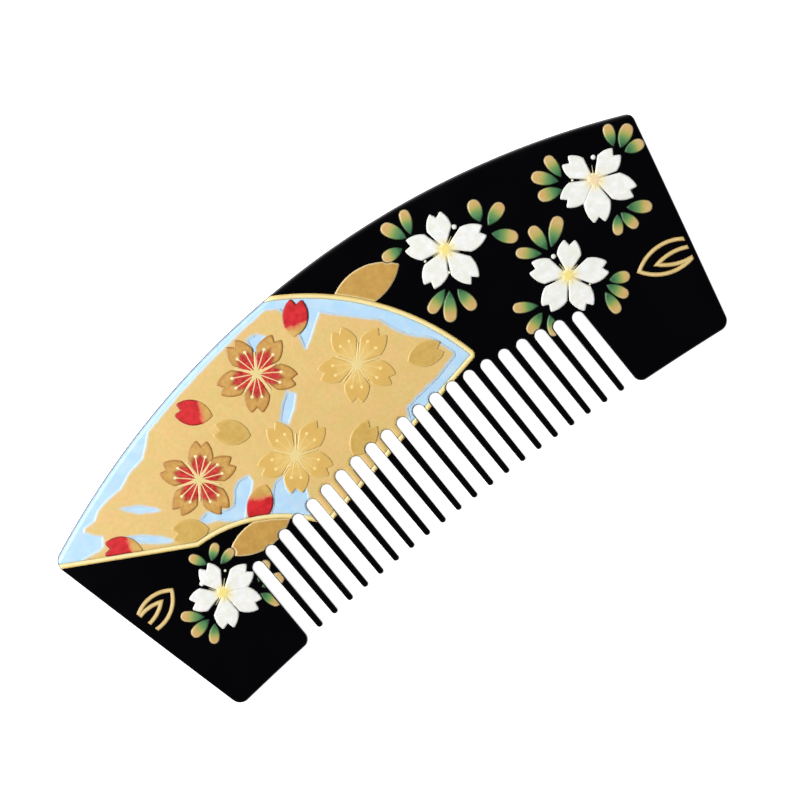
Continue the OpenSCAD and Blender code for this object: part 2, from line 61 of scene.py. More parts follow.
leaflet_len, leaflet_w, leaflet_end_r = 5.0, 1.84, 0.86
high_leaf_len, high_leaf_w, low_leaf_len, low_leaf_w = 11.9, 5.35, 10.6, 4.3
line_petal_len, line_petal_w, line_w = 9.6, 4.1, 0.6
relief_t, coat_t, paint_gap, paint_margin, slot_margin = 0.24, 0.1, 0.03, 0.16, 0.08
lap, waste_reach, petal_lens = 1.0, 1.5, 1.1
# Rounding between a petal's sides and its notch
petal_soft = 0.3

# White blossoms: place as shares of half the width and of root_drop, then each petal's turn and share
# of petal_reach, then the same for the dot beside it
WHITE_FLOWERS = [
    [(0.37, 0.35), [(68, 0.95), (137, 1), (209, 1.02), (276, 1.08), (348, 1.09)], (30, 0.603)],
    [(0.807, 0.329), [(13, 0.9), (109, 0.87), (180, 0.97), (240, 1.08), (306, 1.08)], (54, 0.552)],
    [(0.591, 0.801), [(50, 0.89), (131, 0.97), (199, 1), (265, 0.97), (334, 1.02)], (90, 0.595)],
    [(-0.684, 0.96), [(4, 0.92), (88, 0.83), (162, 0.86), (241, 0.91), (305, 0.98)], (119, 0.569)],
]
# Blossoms of the fan: bearing from the fan's pivot and share of fan_arc_r, then the petals
RED_FLOWERS = [
    [(77.2, 0.629), [(23, 1.04), (93, 1), (165, 1.04), (233, 0.98), (314, 1.02)]],
    [(122.4, 0.513), [(349, 0.98), (49, 0.97), (126, 1), (198, 1), (271, 1.02)]],
]
GOLD_FLOWERS = [
    [(41.9, 0.615), [(14, 1.04), (83, 1), (158, 1), (232, 0.98), (300, 1)]],
    [(76.6, 0.29), [(13, 1), (92, 0.98), (165, 1), (233, 0.95), (299, 0.96)]],
]
# Buds of the fan: place, then turn. RED_MORE is how much farther down each red bud its red reaches, as
# a share of its length
RED_BUDS = [[(98.5, 0.597), 133], [(62.3, 0.717), 49], [(149.4, 0.701), 141], [(108.4, 0.278), 214]]
GOLD_BUDS = [[(92.7, 0.444), 133], [(26.2, 0.682), -15], [(32.7, 0.279), 20], [(143.7, 0.445), 150]]
RED_MORE = [0.08, 0.1, 0.1, 0]
# Sprigs: the white blossom that they stand by, then for each leaflet its foot's bearing and distance
# from the blossom's centre, its turn, and the factors of its length and width
SPRIGS = [
    [0, [(141, 1.06, 171, 0.8, 1.01), (126, 0.99, 117, 1.02, 1.14), (119, 0.92, 71, 0.97, 0.95)]],
    [0, [(360, 1.11, 75, 0.81, 1.14), (351, 1.21, 20, 0.95, 1.11), (341, 1.21, -47, 0.97, 1.14)]],
    [0, [(232, 0.98, -160, 1.06, 1.01), (238, 1.02, -126, 1.19, 1.11), (249, 1.02, -87, 0.98, 1.09)]],
    [1, [(160, 0.83, 160, 0.89, 1.09), (145, 0.87, 132, 1.02, 1.09), (138, 0.81, 89, 0.95, 0.95)]],
    [1, [(21, 0.95, 70, 0.84, 0.95), (12, 1.01, 32, 0.92, 1.09), (4, 1.02, -10, 0.74, 1.01)]],
    [1, [(266, 1.04, -126, 0.75, 0.9), (271, 1.05, -79, 0.8, 0.95), (281, 1.06, -35, 0.94, 1.06)]],
    [2, [(102, 0.84, 141, 0.99, 0.95), (91, 0.81, 89, 1.05, 1.09), (84, 0.81, 38, 1.2, 1.11)]],
    [2, [(188, 1.05, 148, 0.98, 0.9), (197, 1.12, -161, 0.9, 0.98), (206, 1.08, -113, 0.81, 0.87)]],
    [2, [(298, 1, -94, 0.92, 0.98), (308, 0.97, -64, 0.91, 0.92), (315, 1.02, -24, 0.75, 0.98)]],
    [3, [(80, 0.8, 121, 0.72, 0.82), (72, 0.83, 38, 0.67, 0.82), (57, 0.71, 12, 0.71, 0.82)]],
    [3, [(196, 0.76, 139, 0.89, 0.9), (205, 0.74, -173, 0.86, 0.95), (217, 0.79, -130, 0.73, 0.87)]],
    [3, [(338, 0.91, 29, 0.89, 0.87), (330, 0.97, -10, 0.88, 1.03), (321, 0.93, -66, 0.82, 0.87)]],
]
# Gold leaves: place on the fan, turn, length, width, and the white blossom cut out of each
GOLD_LEAVES = [
    [(51.5, 0.812), -5, high_leaf_len, high_leaf_w, 0],
    [(127.8, 0.144), 174, low_leaf_len, low_leaf_w, 3],
]
# Outline of the gold cloud on the fan, then the slits in it, from end to end with their width as a
# share of fan_arc_r, then the larger bare patches
CLOUD_FIELD = [
    (153.1, 0.948), (149.7, 0.932), (148.1, 0.872), (147.4, 0.852), (145.2, 0.851), (144.6, 0.89),
    (144, 0.921), (142.4, 0.916), (140.7, 0.879), (138.4, 0.87), (135.6, 0.842), (131.6, 0.793),
    (129.4, 0.783), (126.7, 0.774), (122.1, 0.744), (118.8, 0.751), (115.4, 0.764), (112.5, 0.769),
    (108.3, 0.758), (101.4, 0.824), (70.2, 0.939), (68.1, 0.855), (64.4, 0.833), (60.8, 0.753),
    (59.2, 0.674), (57.8, 0.704), (56.3, 0.75), (54.5, 0.808), (50.5, 0.796), (44.5, 0.794),
    (38, 0.8), (34.2, 0.784), (30.1, 0.78), (27.1, 0.788), (24, 0.805), (20.6, 0.813),
    (16.9, 0.816), (15.1, 0.796), (15.2, 0.742), (15.3, 0.688), (16.9, 0.584), (17.6, 0.531),
    (11.2, 0.485), (337.7, 0.344), (212.2, 0.245), (168.2, 1.017),
]
CLOUD_SLITS = [[(137.4, 0.761), (136.9, 0.649), 0.0143], [(145.7, 0.747), (147.4, 0.594), 0.018]]
CLOUD_PATCHES = [
    [
        (76, 0.43), (73.3, 0.415), (68.7, 0.462), (66.4, 0.505), (68.9, 0.518), (72, 0.483),
    ],
    [
        (75.4, 0.756), (72.9, 0.761), (71, 0.747), (73.4, 0.722), (75.3, 0.692), (75.1, 0.727),
    ],
    [
        (139.5, 0.475), (136.4, 0.453), (136.1, 0.423), (133.8, 0.381), (130.8, 0.358), (126.1, 0.359),
        (121.3, 0.37), (116, 0.371), (110.9, 0.35), (112.3, 0.33), (119.1, 0.319), (126.4, 0.318),
        (132.6, 0.317), (137.4, 0.317), (139.6, 0.332), (138.8, 0.366), (138.7, 0.416), (140.4, 0.455),
    ],
    [
        (95.5, 0.246), (103.1, 0.251), (111.8, 0.235), (120.7, 0.215), (129.3, 0.215), (141, 0.228),
        (139.1, 0.076), (101.7, 0.097), (88.7, 0.129), (84.9, 0.159), (91.5, 0.174), (104.5, 0.183),
        (101.5, 0.212),
    ],
]
# Drawn petals: place, turn, factors of length and width, and the share of the length that is drawn.
# The smaller petal inside: its shift and its factors by the larger one, with its turn between them
LINE_PETALS = [[(-0.79, 0.701), 195, 0.84, 0.96, 0.72], [(0.75, 0.937), -12, 1.03, 1.03, 0.8]]
line_petal_inside = [(0.28, -0.05), -5, 0.74, 0.44]


# Plane geometry. A field is positive inside its shape and tells the depth below the outline
def way(a):
    return np.array([math.cos(math.radians(a)), math.sin(math.radians(a))])


def bearing_of(v):
    return math.degrees(math.atan2(v[1], v[0]))


def arch_drop(r, x):
    return r - np.sqrt(r * r - x * x)


def both(*fields):
    out = fields[0]
    for f in fields[1:]:
        out = np.minimum(out, f)
    return out


def soft_both(a, b, k):
    """Both fields, with the corner between them rounded."""
    h = np.clip(1 - np.abs(a - b) / k, 0, None)
    return np.minimum(a, b) - h * h * k / 4


def either(*fields):
    out = fields[0]
    for f in fields[1:]:
        out = np.maximum(out, f)
    return out


def local(P, at, turn=0.0):
    c, s = way(turn)
    q = P - np.asarray(at)
    return np.stack([q[..., 0] * c + q[..., 1] * s, q[..., 1] * c - q[..., 0] * s], -1)


def disc(P, c, r):
    return r - np.hypot(P[..., 0] - c[0], P[..., 1] - c[1])


def below(P, n, c):
    return c - P[..., 0] * n[0] - P[..., 1] * n[1]


def area2(pts):
    x, y = np.asarray(pts, float).T
    return np.sum(x * np.roll(y, -1) - y * np.roll(x, -1))


def convex(P, pts):
    pts = np.asarray(pts, float)
    if area2(pts) < 0:
        pts = pts[::-1]
    out = None
    for p, q in zip(pts, np.roll(pts, -1, 0)):
        e = (q - p) / np.hypot(*(q - p))
        f = below(P, (e[1], -e[0]), e[1] * p[0] - e[0] * p[1])
        out = f if out is None else np.minimum(out, f)
    return out


def outline(P, pts):
    pts = np.asarray(pts, float)
    far = np.full(P.shape[:-1], 1e9)
    odd = np.zeros(P.shape[:-1], bool)
    for p, q in zip(pts, np.roll(pts, -1, 0)):
        e, v = q - p, P - p
        t = np.clip((v @ e) / (e @ e), 0, 1)
        far = np.minimum(far, np.hypot(v[..., 0] - t * e[0], v[..., 1] - t * e[1]))
        up = (p[1] <= P[..., 1]) != (q[1] <= P[..., 1])
        step = e[1] if e[1] else 1e-9
        odd ^= up & (P[..., 0] < p[0] + (P[..., 1] - p[1]) * e[0] / step)
    return np.where(odd, far, -far)


def corner_keep(P, c, r, a, b):
    reach = waste_reach * r
    tip = c + reach / math.cos(math.radians((a - b) / 2)) * way((a + b) / 2)
    kite = convex(P, [c, c + reach * way(a), tip, c + reach * way(b)])
    return either(-kite, disc(P, c, r))


def meet(n, c, q, r):
    m = np.array([-n[1], n[0]]) if n[0] > 0 else np.array([n[1], -n[0]])
    off = c - n @ q
    return n * c + m * (m @ q + math.sqrt(r * r - off * off))


shoulder = np.array([shoulder_w / 2, -arch_drop(back_r, shoulder_w / 2)])
back_centre = np.array([0.0, -back_r])
foot_centre = np.array([0.0, -mid_h - guard_drop - foot_r])


def side_n(side):
    return way(-right_lean if side > 0 else -left_lean)


def foot_corner(side):
    n = side_n(side)
    return meet(n, n @ shoulder - foot_corner_r, foot_centre, foot_r + foot_corner_r)


low_y = min(foot_corner(1)[1], foot_corner(-1)[1]) - foot_corner_r
crest_y = -low_y / 2
slot_root_r = (tooth_pitch - tooth_root_w) / 2
slot_tip_r = (tooth_pitch - tooth_tip_w) / 2
slot_end = -guard_drop - lap


def tip_y(x):
    return -mid_h - arch_drop(foot_r, x)


def slot_x(i):
    return row_shift + (i - tooth_count / 2) * tooth_pitch


def lean(i):
    return row_lean + (i - tooth_count / 2) * lean_step


def slot_up(i):
    x = slot_x(i)
    return -root_drop - arch_drop(root_r, x - row_shift) - slot_root_r - tip_y(x)


def slot_field(P, i, grow):
    x, up = slot_x(i), slot_up(i)
    q = local(P, (x, tip_y(x)), lean(i))
    rw, tw = slot_root_r + grow, slot_tip_r + grow
    return either(disc(q, (0, up), rw), convex(q, [(-rw, up), (-tw, slot_end), (tw, slot_end), (rw, up)]))


def mirrored(P, side):
    return P * np.array([side, 1.0])


def sides_field(P, inset):
    """The blank without its arched back."""
    f = -disc(P, foot_centre, foot_r + inset)
    for side in (-1, 1):
        q, n = mirrored(P, side), side_n(side)
        f = both(f, below(q, n, n @ shoulder - inset))
        r = max((right_corner_r if side > 0 else left_corner_r) - inset, lap / 4)
        c = meet(n, n @ shoulder - inset - r, back_centre, back_r - inset - r)
        turn = bearing_of(n)
        f = both(f, corner_keep(q, c, r, bearing_of(c - back_centre), turn))
        if inset == 0:
            c = foot_corner(side)
            f = both(f, corner_keep(q, c, foot_corner_r, turn, bearing_of(foot_centre - c)))
    return f


def comb_sides(P):
    """The comb without its arched back."""
    f = sides_field(P, 0)
    for i in range(tooth_count + 1):
        f = both(f, -slot_field(P, i, 0))
    p, r = tooth_pitch, tooth_end_r
    for i in range(tooth_count):
        x = slot_x(i + 0.5)
        q = local(P, (x, tip_y(x)), lean(i + 0.5))
        square = convex(q, [(-p / 2, r - p), (p / 2, r - p), (p / 2, r), (-p / 2, r)])
        f = both(f, either(-square, disc(q, (0, r), r)))
    for side in (-1, 1):
        i = tooth_count if side > 0 else 0
        tilt = side * lean(i)
        turn = 180 + tilt + bearing_of((slot_up(i) - slot_end, slot_tip_r - slot_root_r))
        edge = np.array([side * slot_x(i), tip_y(slot_x(i))]) + slot_tip_r * way(tilt)
        edge = edge + slot_end * way(90 + tilt)
        c = meet(way(turn), way(turn) @ edge - inner_corner_r, foot_centre, foot_r + inner_corner_r)
        to_foot = bearing_of(foot_centre - c)
        f = both(f, corner_keep(mirrored(P, side), c, inner_corner_r, to_foot, turn - 360))
    return f


def arch_field(P, inset=0.0):
    return disc(P, back_centre, back_r - inset)


def paint_area(P):
    f = both(sides_field(P, paint_margin), arch_field(P, paint_margin))
    for i in range(tooth_count + 1):
        f = both(f, -slot_field(P, i, slot_margin))
    return f


# Height of the front and of the rear. The long edges of the back are rounded by rim_r, and every
# other edge by soft_r
soft_r = 0.28
dome_run, dome_fall = mid_h - thick_drop, back_t - tip_t
dome_r = (dome_run ** 2 + dome_fall ** 2) / (2 * dome_fall)
dome_c = (back_r - thick_drop, back_t - dome_r)


def roll(d, r):
    q = np.clip(r - d, 0, r)
    return r - np.sqrt(r * r - q * q)


def edge_drop(P, sides):
    a, b = roll(arch_field(P), rim_r), roll(sides, soft_r)
    return (a ** 4 + b ** 4) ** 0.25


def front_z(P, sides=None):
    rho = np.hypot(P[..., 0] - back_centre[0], P[..., 1] - back_centre[1])
    z = dome_c[1] + np.sqrt(dome_r ** 2 - (rho - dome_c[0]) ** 2)
    return z - edge_drop(P, comb_sides(P) if sides is None else sides)


def spot(p):
    x = p[0] * shoulder_w / 2
    return np.array([x, -arch_drop(back_r, x) - p[1] * root_drop])


fan_pivot = spot(fan_pivot_at)
fan_arc_c = fan_pivot + fan_arc_r * np.array(fan_arc_shift)
fan_half = (fan_left_turn - fan_right_turn) / 2
fan_mid = (fan_left_turn + fan_right_turn) / 2
fan_bite_c = (fan_pivot + fan_bite_len / 2 * way(fan_left_turn)
              + math.sqrt(fan_bite_r ** 2 - (fan_bite_len / 2) ** 2) * way(fan_left_turn + 90))


def fan_spot(p):
    return fan_pivot + p[1] * fan_arc_r * way(p[0])


def fan_field(P, inset):
    pivot = fan_pivot + inset / math.sin(math.radians(fan_half)) * way(fan_mid)
    a, b = way(fan_right_turn), way(fan_left_turn)
    f = both(disc(P, fan_arc_c, fan_arc_r - inset),
             below(P, (a[1], -a[0]), np.array([a[1], -a[0]]) @ pivot),
             below(P, (-b[1], b[0]), np.array([-b[1], b[0]]) @ pivot),
             -disc(P, fan_bite_c, fan_bite_r + inset))
    n = way(fan_right_turn - 90)
    r = max(fan_corner_r - inset, lap / 5)
    c = meet(n, n @ fan_pivot - inset - r, fan_arc_c, fan_arc_r - inset - r)
    return both(f, corner_keep(P, c, r, bearing_of(c - fan_arc_c), fan_right_turn - 90))


def lens(P, length, w, grow=0.0):
    r = (length ** 2 + w ** 2) / (4 * w)
    return both(disc(P, (length / 2, r - w / 2), r + grow), disc(P, (length / 2, w / 2 - r), r + grow))


def petal(P, reach, w, grow=0.0):
    x = P[..., 0] - (reach - notch_depth + grow)
    k = math.hypot(notch_w, 2 * notch_depth)
    notch = (notch_w * x - 2 * notch_depth * np.abs(P[..., 1])) / k
    return soft_both(lens(P, petal_lens * reach, w, grow), -notch, petal_soft)


def flower(P, petals, grow=0.0):
    c, s = way(petal_spread / 2)
    out = disc(P, (0, 0), heart_r + grow)
    for turn, share in petals:
        q, reach = local(P, (0, 0), turn), petal_reach * share
        wedge = (q[..., 0] + grow) * s - np.abs(q[..., 1]) * c + grow * (c - s)
        out = either(out, both(petal(q, reach, (reach + petal_reach) / 2 * petal_plump, grow), wedge))
    return out


def leaflet_run(length, w, end_r):
    r = (length ** 2 + w ** 2) / (4 * w)
    return math.sqrt((r - end_r) ** 2 - (r - w / 2) ** 2)


def leaflet(P, length, w, end_r):
    r = (length ** 2 + w ** 2) / (4 * w)
    run = leaflet_run(length, w, end_r)
    turn = math.degrees(math.atan2(r - w / 2, run))
    c = np.array([length / 2 + run, 0.0])
    return both(lens(P, length, w), corner_keep(P, c, end_r, turn, -turn))


def cloud(P):
    f = outline(P, [fan_spot(p) for p in CLOUD_FIELD])
    f = both(f, disc(P, fan_arc_c, fan_arc_r - fan_rim_w - fan_band_w), arch_field(P, fan_top_band_w))
    for p, q, w in CLOUD_SLITS:
        p, q = fan_spot(p), fan_spot(q)
        f = both(f, -lens(local(P, p, bearing_of(q - p)), np.hypot(*(q - p)), w * fan_arc_r))
    for patch in CLOUD_PATCHES:
        f = both(f, -outline(P, [fan_spot(p) for p in patch]))
    return f


# Meshes. A grid point nearer to an outline than near_zero counts as just outside, and an edge is cut no
# nearer to its ends than least_cut of the step. Slopes are taken over slope_e, and at a rim over rim_e
near_zero, least_cut = 1e-5, 0.04
slope_e, rim_e = 0.02, 0.03
# Steps of the grids
comb_step, ground_step, cloud_step = 0.21, 0.22, 0.2
line_step, motif_step, stamen_step = 0.11, 0.09, 0.055
# Width of the rounded shoulder of each coat, how upright the normals at its rim are, and how high the
# rim stands as a share of the coat's height
coat_round, cloud_round, petal_round, bud_round, stamen_round = 0.25, 0.5, 0.22, 0.2, 0.1
coat_rise, cloud_rise, rim_share = 1.1, 5.0, 0.2


def smooth_mesh(name, verts, totals, loops, normals, attrs):
    """A mesh from the corners of all faces in a row and the number of corners of each face."""
    starts = np.concatenate([[0], np.cumsum(totals)[:-1]])
    mesh = bpy.data.meshes.new(name)
    mesh.vertices.add(len(verts))
    mesh.vertices.foreach_set("co", (np.asarray(verts) * MM).astype(np.float32).ravel())
    mesh.loops.add(len(loops))
    mesh.loops.foreach_set("vertex_index", np.asarray(loops, np.int32))
    mesh.polygons.add(len(totals))
    mesh.polygons.foreach_set("loop_start", np.asarray(starts, np.int32))
    mesh.polygons.foreach_set("loop_total", np.asarray(totals, np.int32))
    mesh.update(calc_edges=True)
    mesh.polygons.foreach_set("use_smooth", np.ones(len(totals), bool))
    for key, values in attrs.items():
        layer = mesh.attributes.new(key, "FLOAT", "POINT")
        layer.data.foreach_set("value", np.asarray(values, np.float32).ravel())
    mesh.normals_split_custom_set_from_vertices(normals.tolist())
    ob = bpy.data.objects.new(name, mesh)
    bpy.context.collection.objects.link(ob)
    return ob


def grid_cells(lo, hi, h, field):
    """The part of a square grid inside a field: points, and a row of up to eight corners per cell."""
    nx, ny = (int(math.ceil((hi[k] - lo[k]) / h)) + 1 for k in (0, 1))
    gx, gy = np.meshgrid(lo[0] + h * np.arange(nx), lo[1] + h * np.arange(ny), indexing="ij")
    G = np.stack([gx, gy], -1)
    F = field(G)
    F = np.where(np.abs(F) < near_zero, -near_zero, F)
    inside = F > 0
    ids = np.full(F.shape, -1)
    ids[inside] = np.arange(inside.sum())
    points, count = [G[inside]], inside.sum()
    edges = []
    for axis in (0, 1):
        a = (slice(None, -1), slice(None)) if axis == 0 else (slice(None), slice(None, -1))
        b = (slice(1, None), slice(None)) if axis == 0 else (slice(None), slice(1, None))
        cut = inside[a] != inside[b]
        t = F[a][cut] / (F[a][cut] - F[b][cut])
        t = np.clip(t, least_cut, 1 - least_cut)[:, None]
        e = np.full(cut.shape, -1)
        e[cut] = count + np.arange(cut.sum())
        count += cut.sum()
        points.append(G[a][cut] * (1 - t) + G[b][cut] * t)
        edges.append(e)
    H, V = edges
    cells = np.stack([ids[:-1, :-1], H[:, :-1], ids[1:, :-1], V[1:, :],
                      ids[1:, 1:], H[:, 1:], ids[:-1, 1:], V[:-1, :]], -1)
    cells = cells.reshape(-1, 8)
    cells = cells[(cells >= 0).sum(1) >= 3]
    return np.concatenate(points), int(inside.sum()), cells


def plate_frame(points):
    return points + np.array([0.0, crest_y])


def slope(field, P, e):
    """How much a field grows across each point, from e before it to e after it, along x and along y."""
    return field(P + (e, 0)) - field(P - (e, 0)), field(P + (0, e)) - field(P - (0, e))


def unit(v):
    return v / np.maximum(np.linalg.norm(v, axis=1)[:, None], 1e-9)


def field_way(field, P):
    return unit(np.stack(slope(field, P, slope_e), -1))


def height_normals(P, height):
    gx, gy = (g / (2 * slope_e) for g in slope(height, P, slope_e))
    return unit(np.stack([-gx, -gy, np.ones_like(gx)], -1))


def crown(q):
    q = np.clip(q, 0, 1)
    return np.sqrt(q * (2 - q))


def paint(name, field, box, h, lift, t, round_e=coat_round, attrs=None, rise=coat_rise):
    """A closed coat over the field: its underside follows the front, and its top is t higher."""
    P, n_in, cells = grid_cells(box[0], box[1], h, field)

    def top(Q):
        return front_z(Q) + lift + t * crown(np.clip(field(Q), 0, None) / round_e)

    base = front_z(P) + lift
    n = len(P)
    xy = plate_frame(P)
    up = np.column_stack([xy, np.where(np.arange(n) < n_in, top(P), base + rim_share * t)])
    down = np.column_stack([xy[:n_in], base[:n_in]])
    under = np.where(cells >= n_in, cells, cells + n)
    under = np.where(cells < 0, -1, under)[:, ::-1]
    rows = np.concatenate([cells, under])
    keep = rows >= 0
    n_top = height_normals(P, top)
    gx, gy = slope(field, P[n_in:], rim_e)
    n_top[n_in:] = unit(np.stack([-gx, -gy, np.full_like(gx, rise * 2 * rim_e)], -1))
    normals = np.concatenate([n_top, -height_normals(P[:n_in], front_z)])
    values = {"edge": field(P)}
    for key, fn in (attrs or {}).items():
        values[key] = fn(P)
    values = {key: np.concatenate([v, v[:n_in]]) for key, v in values.items()}
    return smooth_mesh(name, np.concatenate([up, down]), keep.sum(1), rows[keep], normals, values)


def box_round(c, r):
    c = np.asarray(c)
    return (c - r, c + r)


# The comb itself. Rings run round its edge, turned from the wall to the flat by edge_turns. Inside them
# lie the points of a square grid, and rows of points along the arch, where the long edge is rounded
comb_box = ((-54, low_y - 1.5), (54, 1.5))
edge_turns = np.radians([0, 14, 30, 48, 68, 90])
ring_gap, blended_rings = 0.11, 3
fill_reach, fill_step, fill_shift, fill_inset = 53, 1.1, (0.13, 0.17), 0.75
arch_depths, arch_inset = (0.36, 0.46, 0.58, 0.72, 0.88, 1.2), 0.5
arch_bearings = np.radians(np.arange(60, 120, 0.3))


def comb_field(P):
    return both(arch_field(P), comb_sides(P))


def comb_outline():
    """Points along the comb's outline, more than ring_gap apart."""
    P, n_in, cells = grid_cells(comb_box[0], comb_box[1], comb_step, comb_field)
    follow = {}
    for row in cells:
        ids = [v for v in row if v >= 0]
        for a, b in zip(ids, ids[1:] + ids[:1]):
            if a >= n_in and b >= n_in:
                follow[int(a)] = int(b)
    start = next(iter(follow))
    loop, v = [start], follow[start]
    while v != start:
        loop.append(v)
        v = follow[v]
    L = P[loop]
    for _ in range(3):
        L = L - comb_field(L)[:, None] * field_way(comb_field, L)
    keep = [0]
    for k in range(1, len(L)):
        if np.hypot(*(L[k] - L[keep[-1]])) > ring_gap:
            keep.append(k)
    return L[keep]


def comb_body():
    L = comb_outline()
    inward = field_way(comb_field, L)
    n = len(L)
    rings = [L + inward * soft_r * (1 - math.cos(p)) for p in edge_turns]
    gx, gy = np.meshgrid(np.arange(-fill_reach, fill_reach, fill_step),
                         np.arange(low_y, 0, fill_step), indexing="ij")
    G = np.stack([gx.ravel() + fill_shift[0], gy.ravel() + fill_shift[1]], -1)
    extra = [G[comb_field(G) > fill_inset]]
    for d in arch_depths:
        A = back_centre + (back_r - d) * np.stack([np.cos(arch_bearings), np.sin(arch_bearings)], -1)
        extra.append(A[comb_sides(A) > arch_inset])
    points = [Vector(p) for p in np.concatenate([rings[-1]] + extra)]
    out = delaunay_2d_cdt(points, [(k, (k + 1) % n) for k in range(n)], [], 1, 1e-6)
    inner, faces = np.array([list(v) for v in out[0]]), np.array([list(f) for f in out[2]])
    first = {old: new for new, olds in enumerate(out[3]) for old in olds}
    flat = np.concatenate([inner] + rings[:-1])
    ring_ids = [len(inner) + j * n + np.arange(n) for j in range(len(rings) - 1)]
    ring_ids.append(np.array([first[k] for k in range(n)]))
    sides, total = comb_sides(flat), len(flat)
    nu = height_normals(flat, front_z)
    nd = -height_normals(flat, lambda Q: edge_drop(Q, comb_sides(Q)))
    for ids, p in zip(ring_ids[:blended_rings], edge_turns):
        blend = math.cos(p) ** 2
        for normals, sign in ((nu, 1), (nd, -1)):
            wall = np.column_stack([-inward, np.full(n, sign * math.tan(p))])
            normals[ids] = unit(blend * wall + (1 - blend) * normals[ids])
    nu[ring_ids[0]] = nd[ring_ids[0]] = np.column_stack([-inward, np.zeros(n)])
    xy = plate_frame(flat)
    heights = (front_z(flat, sides), edge_drop(flat, sides))
    verts = np.concatenate([np.column_stack([xy, z]) for z in heights])
    quads = []
    nxt = np.roll(np.arange(n), -1)
    for a, b in zip(ring_ids[:-1], ring_ids[1:]):
        quads.append(np.column_stack([a, a[nxt], b[nxt], b]))
        quads.append(np.column_stack([a, b, b[nxt], a[nxt]]) + total)
    a = ring_ids[0]
    quads.append(np.column_stack([a, a + total, a[nxt] + total, a[nxt]]))
    quads = np.concatenate(quads)
    tris = np.concatenate([faces, faces[:, ::-1] + total])
    totals = np.concatenate([np.full(len(quads), 4), np.full(len(tris), 3)])
    loops = np.concatenate([quads.ravel(), tris.ravel()])
    edge = both(arch_field(flat), sides)
    return smooth_mesh("comb_body", verts, totals, loops, np.concatenate([nu, nd]),
                       {"edge": np.concatenate([edge, edge])})


# Materials. Noise from patch_lo to patch_hi carries one colour over into the other
patch_lo, patch_hi = 0.38, 0.66


def srgb(r, g, b):
    def lin(c):
        c /= 255
        return c / 12.92 if c <= 0.04045 else ((c + 0.055) / 1.055) ** 2.4
    return (lin(r), lin(g), lin(b), 1.0)


class Nodes:
    def __init__(self, name):
        self.mat = bpy.data.materials.new(name)
        self.mat.use_nodes = True
        self.tree = self.mat.node_tree
        self.shader = self.tree.nodes["Principled BSDF"]

    def add(self, kind, **props):
        node = self.tree.nodes.new(kind)
        for key, value in props.items():
            setattr(node, key, value)
        return node

    def put(self, socket, value):
        if isinstance(value, bpy.types.NodeSocket):
            self.tree.links.new(value, socket)
        else:
            socket.default_value = value

    def calc(self, op, *values):
        node = self.add("ShaderNodeMath", operation=op)
        for socket, value in zip(node.inputs, values):
            self.put(socket, value)
        return node.outputs[0]

    def step(self, value, lo, hi, out_lo=0.0, out_hi=1.0):
        """The value, carried smoothly from the range lo to hi over to out_lo to out_hi."""
        node = self.add("ShaderNodeMapRange", interpolation_type="SMOOTHSTEP")
        names = ("Value", "From Min", "From Max", "To Min", "To Max")
        for name, v in zip(names, (value, lo, hi, out_lo, out_hi)):
            self.put(node.inputs[name], v)
        return node.outputs[0]

    def mix(self, fac, a, b):
        node = self.add("ShaderNodeMix", data_type="RGBA")
        self.put(node.inputs[0], fac)
        self.put(node.inputs[6], a)
        self.put(node.inputs[7], b)
        return node.outputs[2]

    def noise(self, scale, detail=2.0, roughness=0.5, w=0.0):
        """Noise with about scale features per millimetre. Another w gives another pattern."""
        if not hasattr(self, "coords"):
            self.coords = self.add("ShaderNodeTexCoord").outputs["Object"]
        node = self.add("ShaderNodeTexNoise", noise_dimensions="4D")
        self.put(node.inputs["Vector"], self.coords)
        self.put(node.inputs["W"], w)
        self.put(node.inputs["Scale"], scale / MM)
        self.put(node.inputs["Detail"], detail)
        self.put(node.inputs["Roughness"], roughness)
        return node.outputs["Fac"]

    def value(self, name):
        return self.add("ShaderNodeAttribute", attribute_name=name).outputs["Fac"]

    def wobble(self, value, scale, amount, w=0.0):
        """The value, pushed up and down by up to half the amount."""
        push = self.calc("MULTIPLY", self.calc("SUBTRACT", self.noise(scale, 2.0, 0.5, w), 0.5), amount)
        return self.calc("ADD", value, push)

    def mottle(self, colour, scale, amount, other, w=0.0):
        """The colour, turned here and there towards another."""
        share = self.step(self.noise(scale, 3.0, 0.6, w), patch_lo, patch_hi, 0.0, amount)
        return self.mix(share, colour, other)

    def finish(self, colour, roughness, bump=None, bump_scale=3.0, specular=0.5):
        self.put(self.shader.inputs["Base Color"], colour)
        self.put(self.shader.inputs["Roughness"], roughness)
        self.put(self.shader.inputs["Specular IOR Level"], specular)
        if bump:
            node = self.add("ShaderNodeBump")
            self.put(node.inputs["Strength"], 1.0)
            self.put(node.inputs["Distance"], bump * MM)
            self.put(node.inputs["Height"], self.noise(bump_scale, 3.0))
            self.put(self.shader.inputs["Normal"], node.outputs[0])
        return self.mat


def black_lacquer():
    n = Nodes("black_lacquer")
    c = n.mix(n.noise(0.15), srgb(3, 3, 5), srgb(8, 8, 11))
    rough = n.step(n.noise(0.08, 4.0), 0.3, 0.7, 0.07, 0.15)
    return n.finish(c, rough, 0.0012, 0.12, specular=0.35)


def blue_ground():
    n = Nodes("blue_ground")
    c = n.mottle(srgb(180, 221, 250), 0.5, 1.0, srgb(196, 231, 250))
    c = n.mottle(c, 0.9, 0.6, srgb(198, 220, 246), 3.0)
    c = n.mix(n.step(n.value("arch"), 0.22, 0.5, 0.9, 0.0), c, srgb(140, 162, 190))
    return n.finish(c, 0.4, 0.004)


